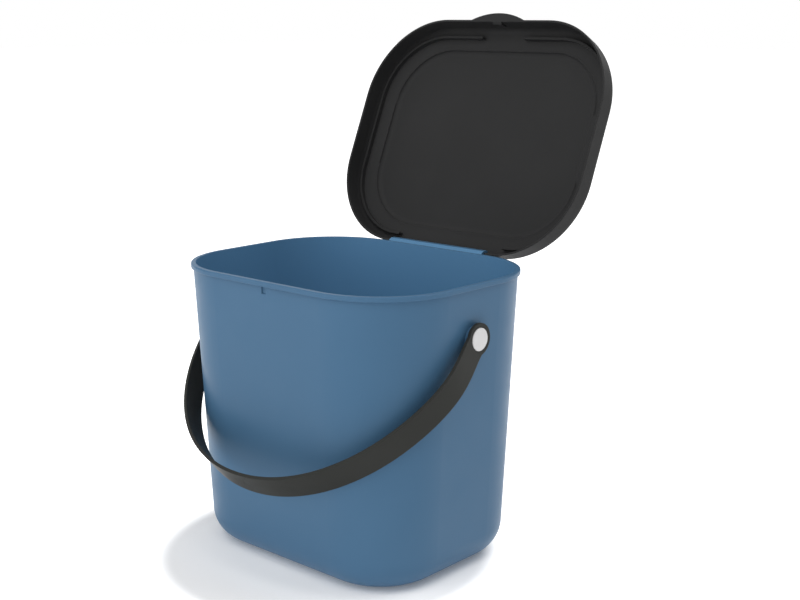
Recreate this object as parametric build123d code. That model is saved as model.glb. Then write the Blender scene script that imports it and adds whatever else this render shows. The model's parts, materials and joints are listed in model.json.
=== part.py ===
from build123d import *
import math
import os

# Sizes are in millimetres. X runs across the bin, Y from its front to its back and Z up.
# The origin is the middle of the underside. The lid is built shut and then swung open,
# and the handle is built upright and then hung in front, which is how the bin stands at rest.

# Bucket
rim_half_width = 109.9
rim_half_depth = 86.5
rim_corner = 60.2
rim_height = 203.0
taper = 10.0
wall = 1.8
floor = 2.0
base_round = 21.9
lip_out = 1.5
lip_height = 3.4
lip_round = 0.9
lip_under_round = 0.45

# Hinge on the bucket: a raised hood along the back rim with a stub pin at each end
hinge_back = 4.6
hinge_below_rim = 3.1
hood_half_length = 45.0
hood_rise = 1.8
hood_ramp = 2.2
hood_plate = 2.2
hood_behind_axis = 2.3
hood_below_axis = 2.2
hood_round = 1.1
cheek = 2.5
web = 2.0
pin_radius = 1.7
pin_length = 7.5
band_height = 9.6

# Lid, whose skirt goes over the lip with a gap at the sides and a larger one at the front and back
side_gap = 0.4
end_gap = 2.05
lid_wall = 1.45
skirt_depth = 16.6
skirt_draft = 1.0
inner_draft = 0.3
skirt_bevel = 0.4
edge_round = 6.5
rim_cover = 6.6
crown_height = 20.9
crown_run = 16.8
crown_round = 10.0
step_from_side = 16.7
step_from_end = 18.3
step_depth = 1.2
step_run = 2.4
step_round = 1.6
open_angle = 113.1

# Small features of the lid
rib_from_side = 5.05
rib_from_end = 9.2
rib_corner_inset = 11.3
rib_width = 1.8
rib_tip = 12.3
rib_front_gap = 20.0
rib_back_gap = 50.0
tab_half_width = 24.9
tab_reach = 5.5
tab_thickness = 2.0
tab_round = 0.7
nose_half_width = 4.0
nose_reach = 1.6
nose_height = 2.3
nose_rib_reach = 1.5
nose_rib_top = 8.5
catch_half_width = 2.0
catch_height = 5.0
catch_depth = 0.9

# Hinge ears on the lid
ear_gap = 0.4
ear_end_wall = 1.2
knuckle_wall = 1.65
gusset_height = 6.8
pin_clearance = 0.05
notch_gap = 0.9
notch_depth = 4.5
stop_gap = 0.3
stop_heel = 3.0

# Handle: an arch that stands flat in one plane with a round eye at each end
pivot_below_rim = 36.0
arch_beyond_lid = 6.65
arch_before_rim = 19.3
arch_inset_length = 29.1
arch_side_power = 2.066
arch_crown_power = 2.188
strap_thickness = 2.2
strap_at_crown = 20.4
strap_shoulder = 1.5
eye_rim = 2.8
hang_angle = 48.35

# Pivot buttons
button_radius = 7.7
button_thickness = 1.4
button_bevel = 0.4
button_proud = 0.6
shank_radius = 4.0
shank_clearance = 0.05
shank_interference = 0.03
seat_gap = 0.3
eye_gap = 0.3
boss_step = 2.4
inner_boss_wall = 2.6
inner_boss_length = 3.2
barb_catch = 0.7
barb_point = 1.0
barb_length = 3.0
barb_slot = 1.6

# How far a cut runs past the face that it opens
past = 1.0

# Values that follow from the sizes above
axis_y = rim_half_depth + hinge_back
axis_z = rim_height - hinge_below_rim
lid_plane = rim_height - rim_cover
pivot_z = rim_height - pivot_below_rim
top_half_width = rim_half_width - lip_out
top_half_depth = rim_half_depth - lip_out
top_corner = rim_corner - lip_out
lid_half_width = rim_half_width + side_gap + lid_wall
lid_half_depth = rim_half_depth + end_gap + lid_wall
lid_corner = rim_corner + end_gap + lid_wall
ring_slope = math.atan2(crown_height - skirt_depth, crown_run)
ceiling_inset = lid_wall + inner_draft
ring_above_skirt = (ceiling_inset - skirt_draft) * math.tan(ring_slope)
ceiling_at_skirt = skirt_depth + ring_above_skirt - lid_wall / math.cos(ring_slope)
ceiling_at_step = crown_height - step_depth - lid_wall
inner_round = edge_round - lid_wall
knuckle_radius = pin_radius + pin_clearance + knuckle_wall
handle_inner = rim_half_width + eye_gap
arch_half_width = lid_half_width + arch_beyond_lid
arch_reach = (rim_half_depth + arch_before_rim) / math.sin(math.radians(hang_angle))
arch_inset = arch_half_width - handle_inner
eye_radius = button_radius + seat_gap + eye_rim
strap_at_eye = 2 * (eye_radius - strap_shoulder)
boss_radius = eye_radius - boss_step
inner_boss_radius = shank_radius + inner_boss_wall
barb_radius = shank_radius + barb_catch
barb_tip_radius = shank_radius - barb_point


def bucket_outline(height, inset):
    # The wall's outline at a height, moved inwards by an inset
    inwards = taper * (1 - height / rim_height) + inset
    width = 2 * (top_half_width - inwards)
    depth = 2 * (top_half_depth - inwards)
    return Pos(0, 0, height) * RectangleRounded(width, depth, top_corner - inwards)


def lid_outline(height, inset):
    # The lid's outline above its edge plane, moved inwards by an inset
    half_width = lid_half_width - inset
    half_depth = lid_half_depth - inset
    return Pos(0, 0, height) * RectangleRounded(2 * half_width, 2 * half_depth, lid_corner - inset)


def rise(outline, height, inwards):
    # Draws an outline up by a height while its sides lean inwards, or outwards when negative
    return extrude(outline, height, taper=math.degrees(math.atan2(inwards, height)))


def block(low_x, high_x, low_y, high_y, low_z, high_z):
    middle = Pos((low_x + high_x) / 2, (low_y + high_y) / 2, (low_z + high_z) / 2)
    return middle * Box(high_x - low_x, high_y - low_y, high_z - low_z)


def rod(radius, low_x, high_x, y, z):
    return Pos((low_x + high_x) / 2, y, z) * Rot(0, 90, 0) * Cylinder(radius, high_x - low_x)


def side_profile(points, low_x, high_x):
    # A flat outline in Y and Z, drawn out along X
    corners = [Vector(low_x, y, z) for y, z in points]
    outline = Face(Wire.make_polygon(corners, close=True))
    return extrude(outline, amount=high_x - low_x, dir=(1, 0, 0))


def bottom_edges(solid):
    return solid.faces().sort_by(Axis.Z)[0].edges()


def top_edges(solid):
    return solid.faces().sort_by(Axis.Z)[-1].edges()


# Bucket: tapered wall, drawn down from the rim, with a large bottom radius and an even thickness
wall_upside_down = rise(Pos(0, 0, -rim_height) * bucket_outline(rim_height, 0), rim_height, taper)
bucket = Pos(0, 0, rim_height) * Rot(180, 0, 0) * wall_upside_down
bucket = fillet(bottom_edges(bucket), base_round)
hollow_height = rim_height + past - floor
hollow = rise(bucket_outline(floor, wall), hollow_height, -taper * hollow_height / rim_height)
hollow = fillet(bottom_edges(hollow), base_round - wall)

# Lip around the rim
lip_bottom = rim_height - lip_height
rim_outline = RectangleRounded(2 * rim_half_width, 2 * rim_half_depth, rim_corner)
lip = extrude(Pos(0, 0, lip_bottom) * rim_outline, lip_height)
lip = fillet(top_edges(lip), lip_round)
lip = fillet(bottom_edges(lip), lip_under_round)
bucket = bucket + lip

# Hinge hood and the deeper band of wall below it, which the lid's ears stop against
ear_inner = hood_half_length + ear_gap
ear_outer = hood_half_length + pin_length + ear_gap + ear_end_wall
band_top = rim_height - lip_round
band_front = rim_half_depth - lip_out - wall
band = block(-ear_outer, ear_outer, band_front, rim_half_depth, rim_height - band_height, band_top)
hood_top = rim_height + hood_rise
hood_back = axis_y + hood_behind_axis
hood_bottom = axis_z - hood_below_axis
hood_underside = hood_top - hood_plate
hood = side_profile(
    [
        (rim_half_depth - lip_round - wall / 2, band_top),
        (rim_half_depth - lip_round, rim_height),
        (rim_half_depth + hood_ramp, hood_top),
        (hood_back, hood_top),
        (hood_back, hood_bottom),
        (rim_half_depth - lip_out, hood_bottom),
        (rim_half_depth - lip_out, band_top),
    ],
    -hood_half_length,
    hood_half_length,
)
hood_edges = hood.edges().filter_by(Axis.X).sort_by(lambda e: e.center().Y + e.center().Z)
hood = fillet(hood_edges[-1], hood_round)
web_position = hood_half_length / 3
bays = []
for low, high in (
    (-hood_half_length + cheek, -web_position - web / 2),
    (-web_position + web / 2, web_position - web / 2),
    (web_position + web / 2, hood_half_length - cheek),
):
    bays.append(block(low, high, rim_half_depth, hood_back - wall, hood_bottom - past, hood_underside))
bucket = bucket + band + (hood - bays)
for side in (-1, 1):
    pin_start = side * (hood_half_length - cheek)
    pin_end = side * (hood_half_length + pin_length)
    pin = rod(pin_radius, min(pin_start, pin_end), max(pin_start, pin_end), axis_y, axis_z)
    bucket = bucket + pin

# Pivot bosses, outside up to the handle's eye and inside for the button's shank
boss_face = rim_half_width
inner_wall = top_half_width - taper * pivot_below_rim / rim_height - wall
inner_boss_face = inner_wall - inner_boss_length
inner_bosses = []
for side in (-1, 1):
    face = side * boss_face
    root = side * (inner_wall + wall / 2)
    bucket = bucket + rod(boss_radius, min(face, root), max(face, root), 0, pivot_z)
    end = side * inner_boss_face
    inner_bosses.append(rod(inner_boss_radius, min(end, root), max(end, root), 0, pivot_z))

# Hollow, with the inner bosses kept, then the pivot holes and the catch under the lip
bucket = bucket - hollow + inner_bosses
hole_radius = shank_radius - shank_interference
for side in (-1, 1):
    low = min(side * (inner_boss_face - past), side * (boss_face + past))
    high = max(side * (inner_boss_face - past), side * (boss_face + past))
    bucket = bucket - rod(hole_radius, low, high, 0, pivot_z)
catch_floor = top_half_depth - taper * (lip_height + catch_height / 2) / rim_height - catch_depth
bucket = bucket - block(
    -catch_half_width, catch_half_width, -rim_half_depth, -catch_floor, lip_bottom - catch_height, lip_bottom
)

# Lid, shut: skirt, sloped ring and flat crown outside
lid = rise(lid_outline(0, 0), skirt_depth, skirt_draft)
lid = lid + rise(lid_outline(skirt_depth, skirt_draft), crown_height - skirt_depth, crown_run)
lid = fillet(top_edges(lid), crown_round)
skirt_edges = lid.edges().filter_by(lambda e: abs(e.center().Z - skirt_depth) < 0.01)
lid = fillet(skirt_edges, edge_round)

# Lid inside: skirt wall with a bevelled edge, sloped ceiling and the stepped recess
step_half_width = lid_half_width - step_from_side
step_half_depth = lid_half_depth - step_from_end
step_corner = lid_corner - step_from_side
step_lead = past * step_run / step_depth
step_width = 2 * (step_half_width + step_lead)
step_length = 2 * (step_half_depth + step_lead)
step_outline = RectangleRounded(step_width, step_length, step_corner + step_lead)
inside = rise(lid_outline(0, lid_wall), ceiling_at_skirt, inner_draft)
ceiling_outline = lid_outline(ceiling_at_skirt, ceiling_inset)
ceiling_run = step_from_side - ceiling_inset
inside = inside + rise(ceiling_outline, ceiling_at_step - ceiling_at_skirt, ceiling_run)
corner_edges = inside.edges().filter_by(lambda e: abs(e.center().Z - ceiling_at_skirt) < 0.01)
inside = fillet(corner_edges, inner_round)
recess = rise(Pos(0, 0, ceiling_at_step - past) * step_outline, past + step_depth, step_lead + step_run)
recess = fillet(top_edges(recess), step_round)
bevel = rise(lid_outline(0, lid_wall - skirt_bevel), 2 * skirt_bevel, 2 * skirt_bevel)
shell = lid - inside - recess - bevel

# Locating rib, open at the front and behind the hinge


def rib_outline(outset):
    # The rib's middle line, moved outwards by an outset
    half_width = lid_half_width - rib_from_side + outset
    half_depth = lid_half_depth - rib_from_end + outset
    corner = lid_corner - rib_corner_inset + outset
    return Pos(0, 0, rib_tip) * RectangleRounded(2 * half_width, 2 * half_depth, corner)


rib = extrude(rib_outline(rib_width / 2) - rib_outline(-rib_width / 2), crown_height - rib_tip)
rib = rib - block(-rib_front_gap, rib_front_gap, -lid_half_depth, 0, 0, crown_height + past)
rib = rib - block(-rib_back_gap, rib_back_gap, 0, lid_half_depth, 0, crown_height + past)
shell = shell + (rib & Pos(0, 0, -lid_wall / 2) * lid)

# Thumb tab on the front edge
tab_radius = (tab_half_width**2 + tab_reach**2) / (2 * tab_reach)
tab_centre = -lid_half_depth - tab_reach + tab_radius
tab = extrude(Pos(0, tab_centre, 0) * Circle(tab_radius), tab_thickness)
tab = fillet(top_edges(tab), tab_round)
tab_root = -lid_half_depth + lid_wall / 2
tab_front = -lid_half_depth - tab_reach - past
tab = tab & block(-lid_half_width, lid_half_width, tab_front, tab_root, -past, tab_thickness + past)
shell = shell + tab

# Latch nose and its rib on the inside of the front skirt
skirt_inner = lid_half_depth - lid_wall
nose = side_profile(
    [
        (-skirt_inner - lid_wall / 2, 0),
        (-skirt_inner, 0),
        (-skirt_inner + nose_reach, nose_height - nose_reach / 2),
        (-skirt_inner + nose_reach, nose_height),
        (-skirt_inner + nose_rib_reach, nose_height + nose_reach / 2),
        (-skirt_inner + nose_rib_reach, nose_rib_top - nose_rib_reach),
        (-skirt_inner, nose_rib_top),
        (-skirt_inner - lid_wall / 2, nose_rib_top),
    ],
    -nose_half_width,
    nose_half_width,
)
shell = shell + nose

# Notch in the back skirt around the hood
axis_h = axis_z - lid_plane
notch_front = lid_half_depth - notch_depth
notch_top = hood_top - lid_plane + notch_gap
notch = block(-ear_inner, ear_inner, notch_front, lid_half_depth + past, -past, notch_top)
shell = shell - notch

# Hinge ears: a round knuckle, a gusset up the skirt and a heel that stops the lid
turn = math.radians(open_angle)


def shut_point(y, z):
    # Where a point of the open lid, measured from the hinge axis, lies when the lid is shut
    back = y * math.cos(turn) - z * math.sin(turn)
    up = y * math.sin(turn) + z * math.cos(turn)
    return axis_y + back, axis_h + up


heel_reach = hinge_back - stop_gap
for side in (-1, 1):
    low = min(side * ear_inner, side * ear_outer)
    high = max(side * ear_inner, side * ear_outer)
    knuckle = rod(knuckle_radius, low, high, axis_y, axis_h)
    gusset = side_profile(
        [
            (lid_half_depth - lid_wall, axis_h),
            (lid_half_depth - lid_wall, axis_h + gusset_height),
            (lid_half_depth - lid_wall / 2, axis_h + gusset_height),
            (axis_y + knuckle_radius / math.sqrt(2), axis_h + knuckle_radius / math.sqrt(2)),
            (axis_y, axis_h),
        ],
        low,
        high,
    )
    heel = side_profile(
        [
            shut_point(0, 0),
            shut_point(-heel_reach, 0),
            shut_point(-heel_reach, -stop_heel),
            shut_point(0, -stop_heel),
        ],
        low,
        high,
    )
    shell = shell + knuckle + gusset + heel
for side in (-1, 1):
    low = min(side * (ear_inner - past), side * (ear_outer - ear_end_wall))
    high = max(side * (ear_inner - past), side * (ear_outer - ear_end_wall))
    shell = shell - rod(pin_radius + pin_clearance, low, high, axis_y, axis_h)

# Swing the lid open about the hinge axis
lid = Pos(0, axis_y, axis_z) * Rot(-open_angle, 0, 0) * Pos(0, -axis_y, -axis_h) * shell


def arch_point(angle):
    # A point of the handle's inner face: an arch that is drawn in towards the eyes
    across = math.cos(angle)
    reach = arch_reach * math.sin(angle) ** (2 / arch_crown_power)
    half = arch_half_width * abs(across) ** (2 / arch_side_power)
    half = half - arch_inset * math.exp(-((reach / arch_inset_length) ** 2))
    return math.copysign(half, across), reach


def arch_normal(angle):
    # The direction that leaves the arch at that point
    step = 0.001
    before = arch_point(angle - step)
    after = arch_point(angle + step)
    along = math.hypot(after[0] - before[0], after[1] - before[1])
    return (after[1] - before[1]) / along, (before[0] - after[0]) / along


# Handle, upright: the arch's outline in X and Z, cut to the strap's shape seen from the side
steps = 28
angles = [math.pi * i / steps for i in range(1, steps)]
inner_points = [Vector(handle_inner, 0, 0)]
outer_points = [Vector(handle_inner + strap_thickness, 0, 0)]
for angle in angles:
    x, z = arch_point(angle)
    out_x, out_z = arch_normal(angle)
    inner_points.append(Vector(x, 0, z))
    outer_points.append(Vector(x + strap_thickness * out_x, 0, z + strap_thickness * out_z))
inner_points.append(Vector(-handle_inner, 0, 0))
outer_points.append(Vector(-handle_inner - strap_thickness, 0, 0))
eye_end = -eye_radius - past
up_and_over = [(0, 0, 1), (0, 0, -1)]
inner_curve = Edge.make_spline(inner_points, tangents=[Vector(*t) for t in up_and_over])
outer_curve = Edge.make_spline(outer_points, tangents=[Vector(*t) for t in up_and_over])
feet = []
for side in (-1, 1):
    inner_x = side * handle_inner
    outer_x = side * (handle_inner + strap_thickness)
    feet.append(Edge.make_line(Vector(inner_x, 0, 0), Vector(inner_x, 0, eye_end)))
    feet.append(Edge.make_line(Vector(inner_x, 0, eye_end), Vector(outer_x, 0, eye_end)))
    feet.append(Edge.make_line(Vector(outer_x, 0, eye_end), Vector(outer_x, 0, 0)))
arch_face = Face(Wire([inner_curve, outer_curve] + feet))
arch = extrude(Pos(0, -strap_at_crown, 0) * arch_face, amount=2 * strap_at_crown, dir=(0, 1, 0))
top = arch_reach + 2 * strap_thickness
widest = handle_inner + arch_inset + 2 * strap_thickness
strap = side_profile(
    [
        (-strap_at_eye / 2, 0),
        (-strap_at_crown / 2, top),
        (strap_at_crown / 2, top),
        (strap_at_eye / 2, 0),
    ],
    -widest,
    widest,
)
strap = strap + rod(eye_radius, -widest, widest, 0, 0)
handle = arch & strap
handle = handle - rod(shank_radius + shank_clearance, -widest, widest, 0, 0)
recess_floor = handle_inner + strap_thickness + button_proud - button_thickness - seat_gap
recess_radius = button_radius + seat_gap
handle = handle - rod(recess_radius, recess_floor, widest, 0, 0)
handle = handle - rod(recess_radius, -widest, -recess_floor, 0, 0)
handle = Pos(0, 0, pivot_z) * Rot(180 - hang_angle, 0, 0) * handle

# Pivot buttons: a flat head, a shank that carries the eye and a split barb inside the bucket
head_face = handle_inner + strap_thickness + button_proud
head_back = head_face - button_thickness


def pivot_button(side):
    head = Cylinder(button_radius, button_thickness)
    head = chamfer(top_edges(head), button_bevel)
    head = Pos(side * (head_face + head_back) / 2, 0, pivot_z) * Rot(0, 90 * side, 0) * head
    tip = inner_boss_face - barb_length
    ends = sorted((side * tip, side * head_back))
    shank = rod(shank_radius, ends[0], ends[1], 0, pivot_z)
    barb_back = inner_boss_face - seat_gap
    barb = Cone(barb_tip_radius, barb_radius, barb_back - tip)
    barb = Pos(side * (barb_back + tip) / 2, 0, pivot_z) * Rot(0, 90 * side, 0) * barb
    ends = sorted((side * (tip - past), side * (inner_boss_face + inner_boss_length / 2)))
    low_z = pivot_z - barb_radius - past
    high_z = pivot_z + barb_radius + past
    split = block(ends[0], ends[1], -barb_slot / 2, barb_slot / 2, low_z, high_z)
    return head + shank + barb - split


os.makedirs("parts", exist_ok=True)
pieces = {
    "bucket": bucket,
    "lid": lid,
    "handle": handle,
    "pivot_button_right": pivot_button(1),
    "pivot_button_left": pivot_button(-1),
}
for name, piece in pieces.items():
    export_step(piece, f"parts/{name}.step")
    print(name, round(piece.volume), piece.bounding_box().min, piece.bounding_box().max)
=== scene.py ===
import json
import math

import bpy
from mathutils import Matrix, Vector


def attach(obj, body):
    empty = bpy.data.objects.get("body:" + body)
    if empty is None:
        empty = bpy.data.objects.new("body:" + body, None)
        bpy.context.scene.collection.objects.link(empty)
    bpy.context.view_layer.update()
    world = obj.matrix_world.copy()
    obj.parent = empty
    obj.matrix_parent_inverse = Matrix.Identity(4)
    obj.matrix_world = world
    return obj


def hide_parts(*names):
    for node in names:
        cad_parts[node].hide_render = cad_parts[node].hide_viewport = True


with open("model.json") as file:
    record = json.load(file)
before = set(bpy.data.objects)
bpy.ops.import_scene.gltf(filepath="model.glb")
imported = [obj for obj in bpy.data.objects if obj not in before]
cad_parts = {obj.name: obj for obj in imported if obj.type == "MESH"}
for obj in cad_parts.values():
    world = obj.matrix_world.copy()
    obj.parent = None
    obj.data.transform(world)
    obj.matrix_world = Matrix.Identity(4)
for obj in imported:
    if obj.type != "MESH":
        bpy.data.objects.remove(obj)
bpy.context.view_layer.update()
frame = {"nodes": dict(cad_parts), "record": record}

# Everything is in metres, in the part's own frame: X right, Y back, Z up
nodes = frame["nodes"]
print("frame loaded,", len(nodes), "nodes")


# Camera at the photograph's angle
view = {
    "azimuth": math.radians(41.79),
    "elevation": math.radians(12.39),
    "target": Vector((0, 0, 0.1015)),
    "distance": 0.9306,
    "shiftRight": 0.03223,  # moves the camera sideways, so the bin sits left of the middle
    "shiftUp": 0.07343,
    "lens": 58.76,
    "sensorWidth": 36,
    "nearest": 0.05,
    "farthest": 30,
}


def makeCamera(look):
    turn, tilt = look["azimuth"], look["elevation"]
    level = math.cos(tilt)
    back = Vector((math.sin(turn) * level, -math.cos(turn) * level, math.sin(tilt)))
    right = Vector((math.cos(turn), math.sin(turn), 0))
    up = back.cross(right)
    camera = bpy.data.objects.new("camera", bpy.data.cameras.new("camera"))
    camera.data.lens = look["lens"]
    camera.data.sensor_width = look["sensorWidth"]
    camera.data.clip_start = look["nearest"]
    camera.data.clip_end = look["farthest"]
    onAxis = look["target"] + back * look["distance"]
    camera.location = onAxis + right * look["shiftRight"] + up * look["shiftUp"]
    camera.rotation_euler = (-back).to_track_quat("-Z", "Y").to_euler()
    bpy.context.scene.collection.objects.link(camera)
    bpy.context.scene.camera = camera


makeCamera(view)
print("camera set")


# Short helpers for node trees
def put(tree, kind, x, y, **settings):
    node = tree.nodes.new(kind)
    node.location = (x, y)
    for name, value in settings.items():
        setattr(node, name, value)
    return node


def newGroup(name, inputs, outputs):
    group = bpy.data.node_groups.new(name, "ShaderNodeTree")
    for label, value in inputs:
        socket = group.interface.new_socket(name=label, in_out="INPUT", socket_type="NodeSocketFloat")
        socket.default_value = value
    for label, kind in outputs:
        group.interface.new_socket(name=label, in_out="OUTPUT", socket_type=kind)
    return group, put(group, "NodeGroupInput", -1000, 0), put(group, "NodeGroupOutput", 800, 0)


def noiseOfSize(tree, size, coordinate, x, y, detail):
    # Noise whose features are about as large as the size that comes in, in metres
    scale = put(tree, "ShaderNodeMath", x - 200, y, operation="DIVIDE")
    scale.inputs[0].default_value = 1.0
    tree.links.new(size, scale.inputs[1])
    noise = put(tree, "ShaderNodeTexNoise", x, y)
    noise.inputs["Detail"].default_value = detail
    tree.links.new(scale.outputs[0], noise.inputs["Scale"])
    tree.links.new(coordinate, noise.inputs["Vector"])
    return noise.outputs["Fac"]


def stretch(tree, value, band, x, y):
    # Spreads a band of values over 0 to 1
    spread = put(tree, "ShaderNodeMapRange", x, y)
    spread.inputs["From Min"].default_value, spread.inputs["From Max"].default_value = band
    tree.links.new(value, spread.inputs["Value"])
    return spread.outputs["Result"]


# What the shared effects have in common wherever they are used
effectLook = {
    "grainDetail": 2.0,  # octaves of noise
    "patchDetail": 5.0,
    "patchBand": (0.32, 0.68),  # the band of noise values that is spread over 0 to 1
    "cloudDetail": 3.0,
    "cloudBand": (0.35, 0.65),
    "bevelSamples": 6,
    "breakDetail": 4.0,
    "breakBand": (0.35, 0.62),
    "lineTurn": (0.3, 0.5, 0.9),  # the way the hairlines run
    "lineDetail": 1.0,
    "lineBand": (0.66, 0.70),
}


# Shared effect: the fine grain of a spark-eroded mould, with slow changes of tone and gloss
def makeMouldGrain():
    group, start, end = newGroup(
        "mould grain",
        [("Grain size", 0.0004), ("Patch size", 0.02), ("Cloud size", 0.08)],
        [("Height", "NodeSocketFloat"), ("Gloss", "NodeSocketFloat"), ("Tone", "NodeSocketFloat")],
    )
    where = put(group, "ShaderNodeTexCoord", -1000, -300).outputs["Object"]
    grain = noiseOfSize(group, start.outputs["Grain size"], where, -500, 300, effectLook["grainDetail"])
    patch = noiseOfSize(group, start.outputs["Patch size"], where, -500, 0, effectLook["patchDetail"])
    cloud = noiseOfSize(group, start.outputs["Cloud size"], where, -500, -300, effectLook["cloudDetail"])
    group.links.new(grain, end.inputs["Height"])
    group.links.new(stretch(group, patch, effectLook["patchBand"], -200, 0), end.inputs["Gloss"])
    group.links.new(stretch(group, cloud, effectLook["cloudBand"], -200, -300), end.inputs["Tone"])
    return group


# Shared effect: corners that are rounded in shading and made a little paler, partly as worn edges and
# partly as a painted highlight where edges catch the light
def makeEdgeWearAndHighlight():
    group, start, end = newGroup(
        "edge wear",
        [("Radius", 0.0005), ("Gain", 3.0), ("Break size", 0.006)],
        [("Mask", "NodeSocketFloat"), ("Normal", "NodeSocketVector")],
    )
    where = put(group, "ShaderNodeTexCoord", -1000, -300).outputs["Object"]
    rounded = put(group, "ShaderNodeBevel", -700, 200, samples=effectLook["bevelSamples"])
    flat = put(group, "ShaderNodeNewGeometry", -700, 0)
    along = put(group, "ShaderNodeVectorMath", -450, 150, operation="DOT_PRODUCT")
    away = put(group, "ShaderNodeMath", -250, 150, operation="SUBTRACT")
    away.inputs[0].default_value = 1.0
    strong = put(group, "ShaderNodeMath", -50, 150, operation="MULTIPLY", use_clamp=True)
    broken = put(group, "ShaderNodeMath", 200, 100, operation="MULTIPLY", use_clamp=True)
    group.links.new(start.outputs["Radius"], rounded.inputs["Radius"])
    group.links.new(rounded.outputs["Normal"], along.inputs[0])
    group.links.new(flat.outputs["Normal"], along.inputs[1])
    group.links.new(along.outputs["Value"], away.inputs[1])
    group.links.new(away.outputs[0], strong.inputs[0])
    group.links.new(start.outputs["Gain"], strong.inputs[1])
    patches = noiseOfSize(group, start.outputs["Break size"], where, -500, -250, effectLook["breakDetail"])
    group.links.new(strong.outputs[0], broken.inputs[0])
    group.links.new(stretch(group, patches, effectLook["breakBand"], -200, -250), broken.inputs[1])
    group.links.new(broken.outputs[0], end.inputs["Mask"])
    group.links.new(rounded.outputs["Normal"], end.inputs["Normal"])
    return group


# Shared effect: hairline scratches from use, which run mostly one way
def makeHairlines():
    group, start, end = newGroup(
        "hairlines",
        [("Spacing", 0.004), ("Length", 12.0), ("Amount", 0.5)],
        [("Mask", "NodeSocketFloat")],
    )
    where = put(group, "ShaderNodeTexCoord", -1000, -300).outputs["Object"]
    turned = put(group, "ShaderNodeMapping", -800, -300)
    turned.inputs["Rotation"].default_value = effectLook["lineTurn"]
    squeeze = put(group, "ShaderNodeCombineXYZ", -800, 100)
    squeeze.inputs["Y"].default_value = 1.0
    squeeze.inputs["Z"].default_value = 1.0
    shorten = put(group, "ShaderNodeMath", -950, 150, operation="DIVIDE")
    shorten.inputs[0].default_value = 1.0
    group.links.new(start.outputs["Length"], shorten.inputs[1])
    group.links.new(shorten.outputs[0], squeeze.inputs["X"])
    stretched = put(group, "ShaderNodeVectorMath", -600, -200, operation="MULTIPLY")
    group.links.new(where, turned.inputs["Vector"])
    group.links.new(turned.outputs["Vector"], stretched.inputs[0])
    group.links.new(squeeze.outputs["Vector"], stretched.inputs[1])
    along = stretched.outputs["Vector"]
    lines = noiseOfSize(group, start.outputs["Spacing"], along, -350, -100, effectLook["lineDetail"])
    fine = stretch(group, lines, effectLook["lineBand"], -100, -100)
    amount = put(group, "ShaderNodeMath", 200, 0, operation="MULTIPLY", use_clamp=True)
    group.links.new(fine, amount.inputs[0])
    group.links.new(start.outputs["Amount"], amount.inputs[1])
    group.links.new(amount.outputs[0], end.inputs["Mask"])
    return group


# Shared effect: finds the side of a wall that faces the middle of the bin
def makeInnerSide():
    group, start, end = newGroup("inner side", [("Softness", 0.3)], [("Mask", "NodeSocketFloat")])
    place = put(group, "ShaderNodeTexCoord", -1000, -300)
    outwards = put(group, "ShaderNodeVectorMath", -750, -300, operation="MULTIPLY")
    outwards.inputs[1].default_value = (1, 1, 0)  # leaves out the height
    direction = put(group, "ShaderNodeVectorMath", -550, -300, operation="NORMALIZE")
    facing = put(group, "ShaderNodeVectorMath", -350, -200, operation="DOT_PRODUCT")
    spread = put(group, "ShaderNodeMath", -150, -200, operation="DIVIDE", use_clamp=True)
    turned = put(group, "ShaderNodeMath", -250, -400, operation="MULTIPLY")
    turned.inputs[1].default_value = -1.0
    group.links.new(place.outputs["Object"], outwards.inputs[0])
    group.links.new(outwards.outputs["Vector"], direction.inputs[0])
    group.links.new(direction.outputs["Vector"], facing.inputs[0])
    group.links.new(place.outputs["Normal"], facing.inputs[1])
    group.links.new(facing.outputs["Value"], turned.inputs[0])
    group.links.new(turned.outputs[0], spread.inputs[0])
    group.links.new(start.outputs["Softness"], spread.inputs[1])
    group.links.new(spread.outputs[0], end.inputs["Mask"])
    return group


mouldGrain = makeMouldGrain()
edgeWearAndHighlight = makeEdgeWearAndHighlight()
hairlines = makeHairlines()
innerSide = makeInnerSide()
print("shared effects built")


def useGroup(tree, group, x, y, values):
    # The values go by the names of the group's inputs
    node = put(tree, "ShaderNodeGroup", x, y, node_tree=group)
    for label, value in values.items():
        node.inputs[label].default_value = value
    return node


def blendColor(tree, mask, first, second, x, y):
    # A Mix node's colours go in at sockets 6 and 7 and come out at 2
    mix = put(tree, "ShaderNodeMix", x, y, data_type="RGBA")
    for socket, color in ((mix.inputs[6], first), (mix.inputs[7], second)):
        if isinstance(color, tuple):
            socket.default_value = (*color, 1)
        else:
            tree.links.new(color, socket)
    tree.links.new(mask, mix.inputs[0])
    return mix.outputs[2]


plasticIor = 1.49


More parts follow.
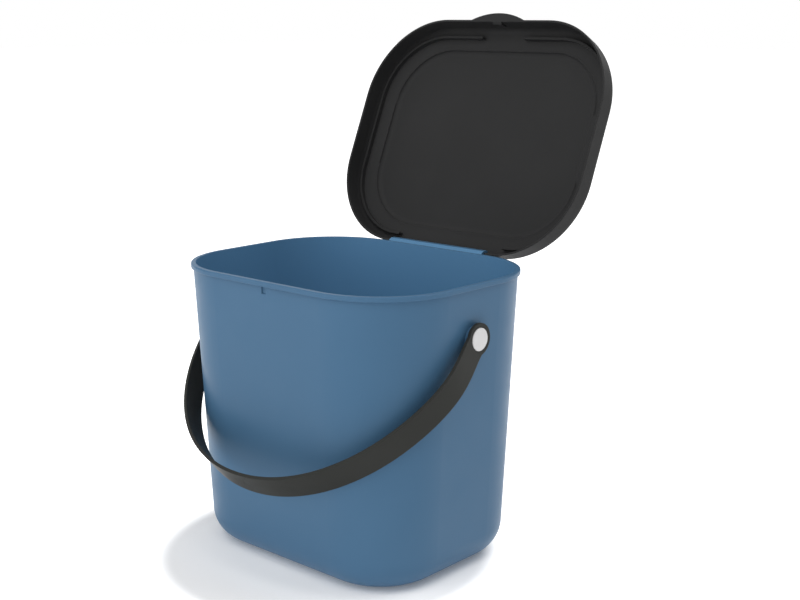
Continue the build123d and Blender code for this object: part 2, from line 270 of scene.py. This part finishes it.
def makeMouldedPlastic(name, look):
    # Satin injection moulded plastic: tone, gloss, grain, paler edges (worn, and a painted highlight) and
    # hairlines.
    # A look with a painted inner light has it, as a paler colour, on the side that faces the middle of the
    # bin
    material = bpy.data.materials.new(name)
    material.use_nodes = True
    tree = material.node_tree
    shader = tree.nodes["Principled BSDF"]
    grain = useGroup(tree, mouldGrain, -1100, 200, {
        "Grain size": look["grainSize"],
        "Patch size": look["patchSize"],
        "Cloud size": look["cloudSize"],
    })
    wearAndHighlight = useGroup(tree, edgeWearAndHighlight, -1100, -100, {
        "Radius": look["edgeRadius"],
        "Gain": look["edgeGain"],
        "Break size": look["breakSize"],
    })
    lines = useGroup(tree, hairlines, -1100, -400, {
        "Spacing": look["lineSpacing"],
        "Length": look["lineLength"],
        "Amount": look["lineAmount"],
    })
    body = blendColor(tree, grain.outputs["Tone"], look["color"], look["colorDrift"], -800, 300)
    # Painted light: the inner side of the wall is made paler, in place of light that reaches the inside
    if "paintedInnerLight" in look:
        inner = useGroup(tree, innerSide, -1100, 500, {"Softness": look["innerSoftness"]})
        body = blendColor(tree, inner.outputs["Mask"], body, look["paintedInnerLight"], -700, 500)
    # Edges and corners made paler: partly worn, partly a painted highlight
    edgeWornAndLit = blendColor(tree, wearAndHighlight.outputs["Mask"], body, look["edgeWearAndHighlightColor"], -600, 300)
    tree.links.new(edgeWornAndLit, shader.inputs["Base Color"])
    # Roughness: the moulded level, patchy by a few hundredths, and rougher along the hairlines
    rough = put(tree, "ShaderNodeMapRange", -800, 0)
    rough.inputs["To Min"].default_value = look["roughness"] - look["roughnessDrift"]
    rough.inputs["To Max"].default_value = look["roughness"] + look["roughnessDrift"]
    tree.links.new(grain.outputs["Gloss"], rough.inputs["Value"])
    scuffed = put(tree, "ShaderNodeMath", -600, 0, operation="MULTIPLY_ADD", use_clamp=True)
    scuffed.inputs[1].default_value = look["lineRoughness"]
    tree.links.new(lines.outputs["Mask"], scuffed.inputs[0])
    tree.links.new(rough.outputs["Result"], scuffed.inputs[2])
    tree.links.new(scuffed.outputs[0], shader.inputs["Roughness"])
    # Relief: the grain stands up, the hairlines are cut in
    relief = put(tree, "ShaderNodeMath", -600, -250, operation="MULTIPLY_ADD")
    relief.inputs[1].default_value = -look["lineDepth"]
    tree.links.new(lines.outputs["Mask"], relief.inputs[0])
    tree.links.new(grain.outputs["Height"], relief.inputs[2])
    bump = put(tree, "ShaderNodeBump", -350, -250)
    bump.inputs["Strength"].default_value = look["grainStrength"]
    bump.inputs["Distance"].default_value = look["grainDepth"]
    tree.links.new(relief.outputs[0], bump.inputs["Height"])
    tree.links.new(wearAndHighlight.outputs["Normal"], bump.inputs["Normal"])
    tree.links.new(bump.outputs["Normal"], shader.inputs["Normal"])
    shader.inputs["Specular IOR Level"].default_value = look["specular"]
    shader.inputs["IOR"].default_value = plasticIor
    return material


def dress(name, material):
    slots = nodes[name].data.materials
    slots.clear()
    slots.append(material)


# Bucket: blue satin polypropylene
bucketLook = {
    "color": (0.0555, 0.132, 0.229),
    "colorDrift": (0.0585, 0.137, 0.236),
    # edges painted paler: partly worn, partly a painted highlight, as along the lip
    "edgeWearAndHighlightColor": (0.12, 0.22, 0.33),
    "roughness": 0.42,
    "roughnessDrift": 0.03,
    "specular": 0.15,
    "paintedInnerLight": (0.089, 0.218, 0.377),  # painted light: the side that faces the middle of the bin is coloured paler, standing in for light that reaches the inside
    "innerSoftness": 0.3,
    "grainSize": 0.00035,
    "grainDepth": 0.00002,
    "grainStrength": 0.25,
    "patchSize": 0.018,
    "cloudSize": 0.09,
    "edgeRadius": 0.0004,
    "edgeGain": 2.0,
    "breakSize": 0.006,
    "lineSpacing": 0.003,
    "lineLength": 16.0,
    "lineAmount": 0.35,
    "lineRoughness": 0.05,
    "lineDepth": 0.6,
}
dress("bucket", makeMouldedPlastic("blue plastic", bucketLook))
print("bucket dressed")

# Lid: near-black satin plastic
lidLook = {
    "color": (0.026, 0.026, 0.0263),
    "colorDrift": (0.028, 0.028, 0.0283),
    # edges painted paler: partly worn, partly a painted highlight line along the rib and the step
    "edgeWearAndHighlightColor": (0.05, 0.05, 0.051),
    "roughness": 0.5,
    "roughnessDrift": 0.04,
    "specular": 0.06,
    "grainSize": 0.00045,
    "grainDepth": 0.00003,
    "grainStrength": 0.3,
    "patchSize": 0.022,
    "cloudSize": 0.07,
    "edgeRadius": 0.0006,
    "edgeGain": 4.0,
    "breakSize": 0.006,
    "lineSpacing": 0.003,
    "lineLength": 14.0,
    "lineAmount": 0.4,
    "lineRoughness": 0.06,
    "lineDepth": 0.6,
}
lidPlastic = makeMouldedPlastic("dark lid plastic", lidLook)
dress("lid", lidPlastic)

# The lid's inner panel, with a deeper and sharper step than the moulding's wall gives
hinge = next(joint for joint in frame["record"]["behaviour"]["joints"] if joint["name"] == "lid_hinge")
panelLook = {
    "hinge": Vector(hinge["pos_m"]),
    "openAngle": math.radians(hinge["range_deg"][1]),  # how far the lid turns to shut
    "edgeHeight": 0.21465,  # the ring's inner edge, with the lid shut
    "panelHeight": 0.21585,  # the moulding's own panel
    "slack": 0.00015,  # a point this near to one of those heights is at it
    "matchDigits": 6,  # corners that agree to this many places in plan lie on one spot of the edge
    "weldDigits": 7,  # corners that agree to this many places become one point
    "lip": 0.001,  # the ring's edge is brought out by this much
    "wallDepth": 0.0012,  # a steep wall at that edge
    "wallRun": 0.0002,
    "coveDepth": 0.00185,  # and a hollow curve from the wall down to the panel
    "coveSlope": math.radians(45),
    "coveSteps": 7,
}


def coveProfile(look):
    # How far inwards and how far up, from the ring's edge before it is brought out, with the lid shut
    steep, steps = look["coveSlope"], look["coveSteps"]
    radius = look["coveDepth"] / (1 - math.cos(steep))
    profile = [(0.0, -look["lip"])]
    for step in range(steps + 1):
        slope = steep * (1 - step / steps)
        across = look["wallRun"] + radius * (math.sin(steep) - math.sin(slope))
        rise = look["wallDepth"] - look["lip"] + radius * (math.cos(slope) - math.cos(steep))
        profile.append((across, rise))
    return profile


def slopeNormals(profile):
    # The surface normal at each point of the profile, from the spans on both sides of it
    spans = [Vector((b[1] - a[1], a[0] - b[0])).normalized() for a, b in zip(profile, profile[1:])]
    spans.append(Vector((0, -1)))  # the flat panel
    return [spans[0]] + [(a + b).normalized() for a, b in zip(spans, spans[1:])]


def takeOutPanel(source, level, look):
    # Brings the ring's edge out, and gives back the faces without the panel and the edge as it was
    low, high = look["edgeHeight"] - look["slack"], look["panelHeight"] + look["slack"]
    inner = [low < point.z < high for point in level]
    deep = [point.z > look["edgeHeight"] + look["slack"] for point in level]
    digits = look["matchDigits"]
    spots = [(round(point.x, digits), round(point.y, digits)) for point in level]
    kept, edge = [], {}
    for face in source.polygons:
        corners = list(face.vertices)
        if all(inner[c] for c in corners) and any(deep[c] for c in corners):
            edge.update({spots[c]: level[c].copy() for c in corners if not deep[c]})
        else:
            kept.append(face)
    for i, spot in enumerate(spots):
        if inner[i] and not deep[i] and spot in edge:
            level[i].z -= look["lip"]
    return kept, sorted(edge.values(), key=lambda point: math.atan2(point.y, point.x))


def makePanel(ring, look):
    # Faces and corner normals of the step and the flat panel inside the ring's edge, with the lid shut
    count = len(ring)
    inwards = []
    for i, point in enumerate(ring):
        along = (ring[(i + 1) % count] - point).normalized() + (point - ring[i - 1]).normalized()
        inwards.append(Vector((-along.y, along.x, 0)).normalized())
    profile = coveProfile(look)
    tilts = slopeNormals(profile)

    def placed(step, i):
        across, rise = profile[step]
        return ring[i] + inwards[i] * across + Vector((0, 0, rise))

    def tilted(step, i):
        return inwards[i] * tilts[step].x + Vector((0, 0, tilts[step].y))

    faces, normals = [], []
    for step in range(len(profile) - 1):
        for i in range(count):
            j = (i + 1) % count
            corners = [(step + 1, i), (step + 1, j), (step, j), (step, i)]
            faces.append([placed(*corner) for corner in corners])
            normals += [tilted(*corner) for corner in corners]
    faces.append([placed(len(profile) - 1, i) for i in reversed(range(count))])
    normals += [Vector((0, 0, -1))] * count
    return faces, normals


def weldFaces(name, faces, normals, digits):
    # One mesh from faces given as corner points, with a normal for each corner
    places, index, joined = [], {}, []
    for face in faces:
        corners = []
        for point in face:
            spot = tuple(round(value, digits) for value in point)
            if spot not in index:
                index[spot] = len(places)
                places.append(point)
            corners.append(index[spot])
        joined.append(corners)
    mesh = bpy.data.meshes.new(name)
    mesh.from_pydata(places, [], joined)
    mesh.polygons.foreach_set("use_smooth", [True] * len(joined))
    mesh.normals_split_custom_set(normals)
    return mesh


def makeLidMoulding(source, look):
    # The CAD lid with its panel made anew: turned shut, worked on, and turned open again
    turn = Matrix.Rotation(look["openAngle"], 4, "X")
    shut = Matrix.Translation(look["hinge"]) @ turn @ Matrix.Translation(-look["hinge"])
    opened, openedTurn = shut.inverted(), turn.inverted().to_3x3()
    level = [shut @ vertex.co for vertex in source.vertices]
    kept, ring = takeOutPanel(source, level, look)
    panelFaces, panelNormals = makePanel(ring, look)
    faces = [[level[c] for c in face.vertices] for face in kept] + panelFaces
    faces = [[opened @ point for point in face] for face in faces]
    normals = [source.corner_normals[loop].vector.copy() for face in kept for loop in face.loop_indices]
    normals += [openedTurn @ normal for normal in panelNormals]
    return weldFaces("lid moulding", faces, normals, look["weldDigits"])


lidPiece = bpy.data.objects.new("lid_moulding", makeLidMoulding(nodes["lid"].data, panelLook))
lidPiece.data.materials.append(lidPlastic)
bpy.context.scene.collection.objects.link(lidPiece)
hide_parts("lid")
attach(lidPiece, "lid")
print("lid dressed,", len(lidPiece.data.polygons), "faces")

# Handle: dark plastic like the lid's, a shade lighter and yellower
handleLook = {
    "color": (0.029, 0.0298, 0.0273),
    "colorDrift": (0.031, 0.0318, 0.0293),
    "edgeWearAndHighlightColor": (0.05, 0.05, 0.048),
    "roughness": 0.44,
    "roughnessDrift": 0.04,
    "specular": 0.06,
    "grainSize": 0.0004,
    "grainDepth": 0.00003,
    "grainStrength": 0.3,
    "patchSize": 0.016,
    "cloudSize": 0.05,
    "edgeRadius": 0.0007,
    "edgeGain": 2.5,
    "breakSize": 0.006,
    "lineSpacing": 0.0025,
    "lineLength": 10.0,
    "lineAmount": 0.5,
    "lineRoughness": 0.07,
    "lineDepth": 0.7,
}
dress("handle", makeMouldedPlastic("dark handle plastic", handleLook))
print("handle dressed")

# Pivot buttons: pale grey plastic, a little glossier
buttonLook = {
    "color": (0.65, 0.645, 0.645),
    "colorDrift": (0.67, 0.665, 0.665),
    "edgeWearAndHighlightColor": (0.69, 0.685, 0.685),
    "roughness": 0.36,
    "roughnessDrift": 0.03,
    "specular": 0.45,
    "grainSize": 0.0003,
    "grainDepth": 0.000015,
    "grainStrength": 0.2,
    "patchSize": 0.006,
    "cloudSize": 0.015,
    "edgeRadius": 0.0003,
    "edgeGain": 1.0,
    "breakSize": 0.006,
    "lineSpacing": 0.0015,
    "lineLength": 8.0,
    "lineAmount": 0.3,
    "lineRoughness": 0.05,
    "lineDepth": 0.5,
}
buttonPlastic = makeMouldedPlastic("pale button plastic", buttonLook)
dress("pivot_button_right", buttonPlastic)
dress("pivot_button_left", buttonPlastic)
print("buttons dressed")


# White floor that keeps the bin's soft shadow, and a white surround
studioLook = {
    "floorSize": 24.0,
    "floorColor": (0.95, 0.95, 0.955),
    "floorRoughness": 0.9,
    "nearLift": 0.08,  # light added where the camera or a reflection sees the floor beside the bin
    "farLift": 1.0,  # the same farther off, where the floor goes to plain white
    "floorGlow": 0.25,  # what the floor itself gives off on to the bin, like a lit table
    "liftCenter": (0, -0.03, 0),
    "nearDistance": 0.108,  # the lift grows from here to farDistance, measured from liftCenter
    "farDistance": 0.13,
    "surround": 0.3,  # strength that lights the bin; the camera sees 1
}


def seenRays(tree, x, y):
    # 1 for camera, glossy and transmission rays
    path = put(tree, "ShaderNodeLightPath", x, y)
    first = put(tree, "ShaderNodeMath", x + 200, y, operation="MAXIMUM")
    second = put(tree, "ShaderNodeMath", x + 400, y, operation="MAXIMUM")
    tree.links.new(path.outputs["Is Camera Ray"], first.inputs[0])
    tree.links.new(path.outputs["Is Glossy Ray"], first.inputs[1])
    tree.links.new(first.outputs[0], second.inputs[0])
    tree.links.new(path.outputs["Is Transmission Ray"], second.inputs[1])
    return second.outputs[0]


def makeFloor(look):
    half = look["floorSize"] / 2
    mesh = bpy.data.meshes.new("floor")
    corners = [(-half, -half, 0), (half, -half, 0), (half, half, 0), (-half, half, 0)]
    mesh.from_pydata(corners, [], [(0, 1, 2, 3)])
    floor = bpy.data.objects.new("floor", mesh)
    bpy.context.scene.collection.objects.link(floor)
    material = bpy.data.materials.new("white floor")
    material.use_nodes = True
    tree = material.node_tree
    shader = tree.nodes["Principled BSDF"]
    shader.inputs["Base Color"].default_value = (*look["floorColor"], 1)
    shader.inputs["Roughness"].default_value = look["floorRoughness"]
    shader.inputs["Specular IOR Level"].default_value = 0.0
    where = put(tree, "ShaderNodeNewGeometry", -1100, -500)
    away = put(tree, "ShaderNodeVectorMath", -900, -500, operation="DISTANCE")
    away.inputs[1].default_value = look["liftCenter"]
    rise = put(tree, "ShaderNodeMapRange", -600, -500, interpolation_type="SMOOTHSTEP")
    rise.inputs["From Min"].default_value = look["nearDistance"]
    rise.inputs["From Max"].default_value = look["farDistance"]
    rise.inputs["To Min"].default_value = look["nearLift"]
    rise.inputs["To Max"].default_value = look["farLift"]
    # The lift is for the rays that see the floor, and the others meet the floor's own glow
    lift = put(tree, "ShaderNodeMapRange", -200, -200)
    lift.inputs["To Min"].default_value = look["floorGlow"]
    tree.links.new(where.outputs["Position"], away.inputs[0])
    tree.links.new(away.outputs["Value"], rise.inputs["Value"])
    tree.links.new(rise.outputs["Result"], lift.inputs["To Max"])
    glow = put(tree, "ShaderNodeEmission", 0, -200)
    both = put(tree, "ShaderNodeAddShader", 300, 0)
    tree.links.new(seenRays(tree, -900, -200), lift.inputs["Value"])
    tree.links.new(lift.outputs["Result"], glow.inputs["Strength"])
    tree.links.new(shader.outputs[0], both.inputs[0])
    tree.links.new(glow.outputs[0], both.inputs[1])
    tree.links.new(both.outputs[0], tree.nodes["Material Output"].inputs["Surface"])
    mesh.materials.append(material)


def makeSurround(look):
    world = bpy.data.worlds.new("white surround")
    bpy.context.scene.world = world
    world.use_nodes = True
    tree = world.node_tree
    back = tree.nodes["Background"]
    back.inputs["Color"].default_value = (1, 1, 1, 1)
    # Plain white where it is seen, dimmer as a light
    strength = put(tree, "ShaderNodeMapRange", -300, 0)
    strength.inputs["To Min"].default_value = look["surround"]
    strength.inputs["To Max"].default_value = 1.0
    tree.links.new(seenRays(tree, -1000, 0), strength.inputs["Value"])
    tree.links.new(strength.outputs["Result"], back.inputs["Strength"])


makeFloor(studioLook)
makeSurround(studioLook)
print("floor and surround made")

# Soft lamps: one high at the back, a wide one in front, one high above it and a weak one on the right
lampLooks = {
    "back lamp": {
        "place": (0.9, 1.0, 1.9),
        "aim": (0, 0, 0.1),
        "size": (1.4, 1.4),
        "power": 16.0,
    },
    "front lamp": {
        "place": (-0.6, -2.3, 0.85),
        "aim": (0, 0, 0.15),
        "size": (3.2, 1.6),
        "power": 20.5,
    },
    "high lamp": {
        "place": (0.2, -1.3, 2.5),
        "aim": (0, 0, 0.15),
        "size": (2.4, 1.8),
        "power": 34.5,
    },
    "right lamp": {
        "place": (2.2, -0.7, 1.0),
        "aim": (0, 0, 0.1),
        "size": (2.6, 2.0),
        "power": 4.5,
    },
}


def makeLamp(name, look):
    data = bpy.data.lights.new(name, "AREA")
    data.shape = "RECTANGLE"
    data.size, data.size_y = look["size"]
    data.energy = look["power"]
    lamp = bpy.data.objects.new(name, data)
    lamp.location = look["place"]
    lamp.rotation_euler = (Vector(look["aim"]) - lamp.location).to_track_quat("-Z", "Y").to_euler()
    bpy.context.scene.collection.objects.link(lamp)


for name, look in lampLooks.items():
    makeLamp(name, look)
print("lamps set")

bpy.context.scene.view_settings.view_transform = "Standard"
